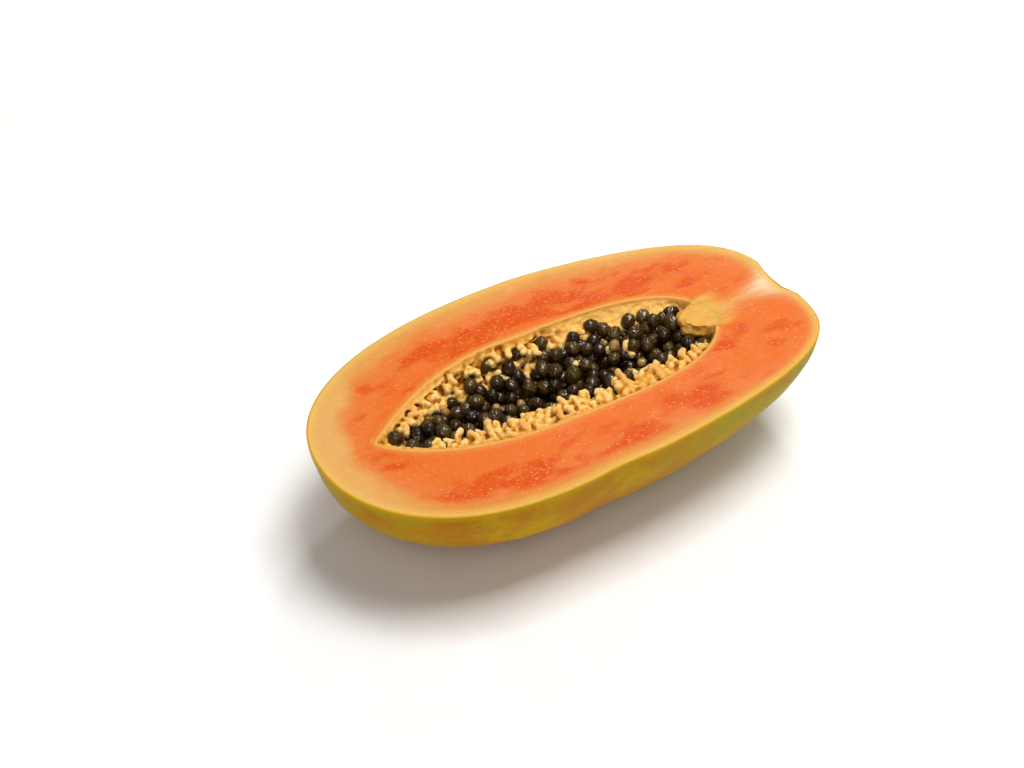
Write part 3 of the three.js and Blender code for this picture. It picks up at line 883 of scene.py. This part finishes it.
def papayaFleshCutWet(add, place, mark):
    look = fleshLook
    drift = add("TexNoise", {"Scale": perMm(14), "Detail": 5.0, "Roughness": 0.6, "Vector": place})
    wander = add("MapRange", {"range": (0.3, 0.7, -0.08, 0.08), "Value": drift})
    zone = add("Math", {"operation": "MULTIPLY_ADD", 1: 0.3333, 0: mark["fleshZone"], 2: wander})
    rind = add("Mix", {6: look["peach"], 7: look["cream"], "Factor": mark["cream"]})
    fleshStops = [(0.2, look["rindEnd"]), (0.42, look["salmon"]), (0.85, look["orange"])]
    flesh = add("ValToRGB", {"stops": fleshStops, "Fac": zone})
    soft = {"interpolation_type": "SMOOTHSTEP"}
    rindMask = add("MapRange", {"range": (0.16, 0.4, 1.0, 0.0), "Value": zone, **soft})
    colour = add("Mix", {"Factor": rindMask, 6: flesh, 7: rind})
    stretch = add("Mapping", {"Scale": (0.35, 1.0, 1.0), "Vector": place})
    ragged = add("TexNoise", {"Scale": perMm(3.5), "Detail": 5.0, "Roughness": 0.65, "Vector": stretch})
    ripeness = add("Math", {"operation": "MULTIPLY_ADD", 1: 0.55, 0: ragged, 2: mark["ripe"]})
    ripeMask = add("MapRange", {"range": (0.44, 0.98, 0.0, 1.0), "Value": ripeness, **soft})
    inside = add("MapRange", {"range": (0.8, 1.25, 0.0, 1.0), "Value": mark["fleshZone"]})
    ripeShare = add("Math", {"operation": "MULTIPLY", 0: ripeMask, 1: inside})
    lipMask = add("MapRange", {"range": (0.2, 2.4, 0.85, 0.0), "Value": mark["fromHollow"]})
    for key, share in (("ripe", ripeShare), ("lip", lipMask)):
        colour = add("Mix", {7: look[key], "Factor": share, 6: colour})
    fibreSpace = add("Mapping", {"Scale": (0.2, 1.0, 1.0), "Vector": place})
    fibre = add("TexNoise", {"Scale": perMm(1.8), "Detail": 4.0, "Roughness": 0.6, "Vector": fibreSpace})
    coreColour = add("Mix", {6: look["core"], 7: look["coreWhite"], "Factor": mark["scarWhite"]})
    streak = add("MapRange", {"range": (0.3, 0.6, 0.55, 1.0), "Value": fibre})
    coreShare = add("Math", {"operation": "MULTIPLY", 0: mark["stemCore"], 1: streak})
    colour = add("Mix", {"Factor": coreShare, 6: colour, 7: coreColour})
    tongueShare = add("Math", {"operation": "MULTIPLY", 0: mark["tongue"], 1: streak})
    colour = add("Mix", {7: look["tongue"], "Factor": tongueShare, 6: colour})
    tone = add("MapRange", {"range": (0.3, 0.7, 0.97, 1.03), "Value": fibre})
    colour = add("HueSaturation", {"Value": tone, "Color": colour})
    # painted highlight: fine pale flecks mixed into the colour stand in for glints of light on the juice
    glintSpace = add("Mapping", {"Scale": (0.5, 1.0, 1.0), "Rotation": (0.0, 0.0, 0.5), "Vector": place})
    paintedGlint = add("TexNoise", {"Scale": perMm(0.9), "Detail": 2.0, "Roughness": 0.6, "Vector": glintSpace})
    paintedGlintSum = add("Math", {"operation": "MULTIPLY_ADD", 1: 0.04, 0: ripeShare, 2: paintedGlint})
    paintedGlintMask = add("MapRange", {"range": (0.62, 0.76, 0.0, 0.65), "Value": paintedGlintSum})
    colour = add("Mix", {7: look["paintedGlint"], "Factor": paintedGlintMask, 6: colour})
    lineShare = add("Math", {"operation": "MULTIPLY", 1: 0.4, 0: mark["fromSkin"]})
    lineStops = [(0.16, look["skinLine"]), (0.34, look["rindLine"])]
    line = add("ValToRGB", {"stops": lineStops, "Fac": lineShare})
    lineMask = add("MapRange", {"range": (0.5, 5.0, 1.0, 0.0), "Value": mark["fromSkin"]})
    colour = add("Mix", {"Factor": lineMask, 6: colour, 7: line})
    grain = add("TexNoise", {"Scale": perMm(1.2), "Detail": 3.0, "Roughness": 0.65, "Vector": glintSpace})
    pools = add("TexNoise", {"Scale": perMm(8), "Detail": 3.0, "Vector": place})
    relief = add("Math", {"operation": "MULTIPLY_ADD", 1: 0.6, 0: grain, 2: pools})
    bump = add("Bump", {"Strength": 0.45, "Distance": 0.0009, "Height": relief})
    wet = add("MapRange", {"range": (0.35, 0.68, 0.42, 0.2), "Value": pools})
    return add("BsdfPrincipled", {
        "IOR": look["ior"], "Specular IOR Level": 0.16, "Subsurface Weight": 0.15,
        "Subsurface Radius": (1.0, 0.35, 0.1), "Subsurface Scale": 0.003,
        "Base Color": colour, "Roughness": wet, "Normal": bump})


# smooth waxy skin, ripened from green to yellow: ochre, some orange, green streaks near the ends, freckles
skinLook = {
    "yellow": "#c29602", "ochre": "#b88100", "orange": "#b37300", "green": "#8f981a", "olive": "#b8a00c",
    "rim": "#cfa408", "freckle": "#5f5212", "scar": "#765a2a", "ior": 1.45,
}


def papayaSkinWaxy(add, place, mark):
    look = skinLook
    cloud = add("TexNoise", {"Scale": perMm(28), "Detail": 7.0, "Roughness": 0.68, "Vector": place})
    skinStops = [(0.38, look["orange"]), (0.5, look["ochre"]), (0.62, look["yellow"])]
    colour = add("ValToRGB", {"stops": skinStops, "Fac": cloud})
    streakSpace = add("Mapping", {"Scale": (0.35, 1.0, 1.0), "Vector": place})
    streak = add("TexNoise", {
        "Scale": perMm(12), "Detail": 6.0, "Roughness": 0.68, "Distortion": 0.4, "Vector": streakSpace})
    stemward = add("MapRange", {"range": (80.0, 205.0, 0.0, 0.25), "Value": mark["alongFruit"]})
    blossomward = add("MapRange", {"range": (0.0, 50.0, 0.2, 0.0), "Value": mark["alongFruit"]})
    unripe = add("Math", {"operation": "ADD", 0: stemward, 1: blossomward})
    greenSum = add("Math", {"operation": "ADD", 0: streak, 1: unripe})
    greenMask = add("MapRange", {"range": (0.54, 0.84, 0.0, 0.85), "Value": greenSum})
    greenTone = add("ValToRGB", {"stops": [(0.35, look["olive"]), (0.65, look["green"])], "Fac": cloud})
    colour = add("Mix", {"Factor": greenMask, 6: colour, 7: greenTone})
    rimMask = add("MapRange", {"range": (0.2, 4.0, 0.8, 0.0), "Value": mark["belowCut"]})
    freckle = add("TexVoronoi", {"Scale": perMm(2.8), "Randomness": 1.0, "Vector": streakSpace})
    freckleSize = add("MapRange", {"range": (0.36, 0.72, 0.0, 0.36), "Value": streak})
    freckleEdge = add("Math", {"operation": "SUBTRACT", 0: freckleSize, 1: freckle})
    freckleMask = add("MapRange", {"range": (0.0, 0.08, 0.0, 0.5), "Value": freckleEdge})
    crust = add("TexNoise", {"Scale": perMm(3), "Detail": 4.0, "Roughness": 0.7, "Vector": place})
    crustMask = add("Math", {"operation": "MULTIPLY", 0: crust, 1: mark["scarNear"]})
    for key, share in (("rim", rimMask), ("freckle", freckleMask), ("scar", crustMask)):
        colour = add("Mix", {7: look[key], "Factor": share, 6: colour})
    pore = add("TexNoise", {"Scale": perMm(1.8), "Detail": 3.0, "Vector": place})
    bump = add("Bump", {"Strength": 0.2, "Distance": 0.0005, "Height": pore})
    shine = add("MapRange", {"range": (0.3, 0.7, 0.36, 0.52), "Value": cloud})
    return add("BsdfPrincipled", {
        "IOR": look["ior"], "Specular IOR Level": 0.05, "Subsurface Weight": 0.08,
        "Subsurface Radius": (1.0, 0.6, 0.1), "Subsurface Scale": 0.002,
        "Base Color": colour, "Roughness": shine, "Normal": bump})


# soft moist pulp, torn open: pale gold with peach at the lip; the darker orange-brown down in the sockets is
# painted shade and the paler stalk tips are painted highlight
pulpLook = {
    # tip is painted highlight, deep and socket are painted shade, gold is the pulp's own colour
    "tip": "#efca7e", "gold": "#e0a84a", "deep": "#c98228", "socket": "#92520f", "wall": "#f6bf66",
    "lip": "#de9844", "ior": 1.38,
}


def papayaPulpMoist(add, place, mark):
    look = pulpLook
    mottle = add("TexNoise", {"Scale": perMm(5), "Detail": 4.0, "Vector": place})
    # painted shade and highlight: pits and sockets get darker colours, stalk tips paler ones; the mottle is the
    # pulp's own tone
    peakShadeShare = add("MapRange", {"range": (-0.28, 0.34, -0.1, 0.78), "Value": mark["peak"]})
    tone = add("Math", {"operation": "MULTIPLY_ADD", 1: 0.4, 0: mottle, 2: peakShadeShare})
    pulpShadeStops = [(0.12, look["socket"]), (0.3, look["deep"]), (0.52, look["gold"]), (0.82, look["tip"])]
    colour = add("ValToRGB", {"stops": pulpShadeStops, "Fac": tone})
    lipMask = add("MapRange", {"range": (0.2, 1.6, 0.9, 0.0), "Value": mark["belowCut"]})
    # the smooth far wall at the stem end is made paler: partly its own pale colour, partly painted light where
    # it would sit in shade
    for key, share in (("wall", mark["smoothWall"]), ("lip", lipMask)):
        colour = add("Mix", {7: look[key], "Factor": share, 6: colour})
    grain = add("TexNoise", {"Scale": perMm(1.1), "Detail": 3.0, "Vector": place})
    bump = add("Bump", {"Strength": 0.35, "Distance": 0.0005, "Height": grain})
    wet = add("MapRange", {"range": (0.3, 0.7, 0.3, 0.5), "Value": mottle})
    return add("BsdfPrincipled", {
        "IOR": look["ior"], "Specular IOR Level": 0.14, "Subsurface Weight": 0.4,
        "Subsurface Radius": (1.0, 0.6, 0.2), "Subsurface Scale": 0.002,
        "Base Color": colour, "Roughness": wet, "Normal": bump})


# seed in its wet skin: near black, some browner, wrinkled under a clear glossy film; a few are small and pale
seedLook = {
    # core is painted shade for the gaps deep between the seeds
    "black": "#1a0e03", "brown": "#3d260a", "olive": "#46330d", "pale": "#a07a40", "core": "#1d0e05",
    "ior": 1.42,
}


def papayaSeedGlossy(add, place, mark):
    look = seedLook
    wrinkle = add("TexNoise", {"Scale": perMm(1.6), "Detail": 3.0, "Roughness": 0.6, "Vector": place})
    toneSum = add("Math", {"operation": "MULTIPLY_ADD", 1: 0.6, 0: wrinkle, 2: mark["seedTone"]})
    seedStops = [(0.4, look["black"]), (0.85, look["brown"]), (1.0, look["olive"])]
    colour = add("ValToRGB", {"stops": seedStops, "Fac": toneSum})
    colour = add("Mix", {7: look["pale"], "Factor": mark["seedPale"], 6: colour})
    bump = add("Bump", {"Strength": 0.7, "Distance": 0.0009, "Height": wrinkle})
    return add("BsdfPrincipled", {
        "IOR": look["ior"], "Roughness": 0.3, "Specular IOR Level": 0.3,
        "Specular Tint": (1.0, 0.82, 0.55, 1.0), "Coat Weight": 0.75, "Coat Roughness": 0.08,
        "Base Color": colour, "Normal": bump})


# painted shade: a dark, rough and dull body under the seeds, seen only in the gaps between them
def papayaSeedGapShade(add, place, mark):
    stain = add("TexNoise", {"Scale": perMm(3), "Detail": 3.0, "Vector": place})
    colour = add("ValToRGB", {"stops": [(0.35, seedLook["black"]), (0.7, seedLook["core"])], "Fac": stain})
    return add("BsdfPrincipled", {"Roughness": 0.8, "Specular IOR Level": 0.1, "Base Color": colour})


paint(flesh, papayaSkinWaxy, ("belowCut", "alongFruit", "scarNear"))
paint(flesh, papayaFleshCutWet, (
    "fromSkin", "fromHollow", "fleshZone", "ripe", "cream", "stemCore", "scarWhite", "tongue"))
paint(pulp, papayaPulpMoist, ("peak", "belowCut", "smoothWall"))
paint(seeds, papayaSeedGlossy, ("seedTone", "seedPale"))
paint(seeds, papayaSeedGapShade)
rides = ((flesh, "flesh_half", "flesh"), (pulp, "pulp_lining", "pulp"), (seeds, "seed_heap", "seed"))
for piece, node, slot in rides:
    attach(piece, "root")
    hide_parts(node)
print("materials set")

# studio: white paper, a large soft lamp above, a weak one in front and a small one behind that draws the glints
studio = {
    "paperDark": "#f3f2f0", "paper": "#f8f7f5", "sky": 0.2, "aim": (0.0, 0.0, 0.03),
    "floor": 12.0, "cloud": 36.0,  # metres across, and mm of the faint clouds in the paper
    "lamps": [  # name, place in metres, size, power
        ("softLamp", (0.40, -0.04, 1.76), 0.8, 29.0),
        ("frontLamp", (-0.55, -1.05, 1.25), 0.9, 5.0),
        ("glintLamp", (0.52, 0.66, 0.90), 0.14, 2.2),
    ],
}


def mattPaper(add, place, mark):  # matt white paper, very faintly cloudy
    cloud = add("TexNoise", {"Scale": perMm(studio["cloud"]) * studio["floor"]})  # runs 0 to 1 over the floor
    paper = add("ValToRGB", {"stops": [(0.3, studio["paperDark"]), (0.7, studio["paper"])], "Fac": cloud})
    return add("BsdfPrincipled", {"Roughness": 0.85, "Specular IOR Level": 0.2, "Base Color": paper})


def buildStudio():
    mesh = bpy.data.meshes.new("paleFloor")
    half = studio["floor"] / 2.0
    corners = [(-half, -half, 0.0), (half, -half, 0.0), (half, half, 0.0), (-half, half, 0.0)]
    mesh.from_pydata(corners, [], [(0, 1, 2, 3)])
    floor = addObject("paleFloor", mesh)
    paint(floor, mattPaper)
    for name, place, size, power in studio["lamps"]:
        data = bpy.data.lights.new(name, "AREA")
        data.energy = power
        data.size = size
        lamp = addObject(name, data)
        lamp.location = place
        lamp.rotation_euler = (Vector(studio["aim"]) - lamp.location).to_track_quat("-Z", "Y").to_euler()
    world = bpy.data.worlds.new("studio")
    bpy.context.scene.world = world
    world.use_nodes = True
    world.node_tree.nodes["Background"].inputs["Color"].default_value = (1.0, 1.0, 1.0, 1.0)
    world.node_tree.nodes["Background"].inputs["Strength"].default_value = studio["sky"]


buildStudio()
bpy.context.scene.view_settings.view_transform = "Standard"
print("studio lit")
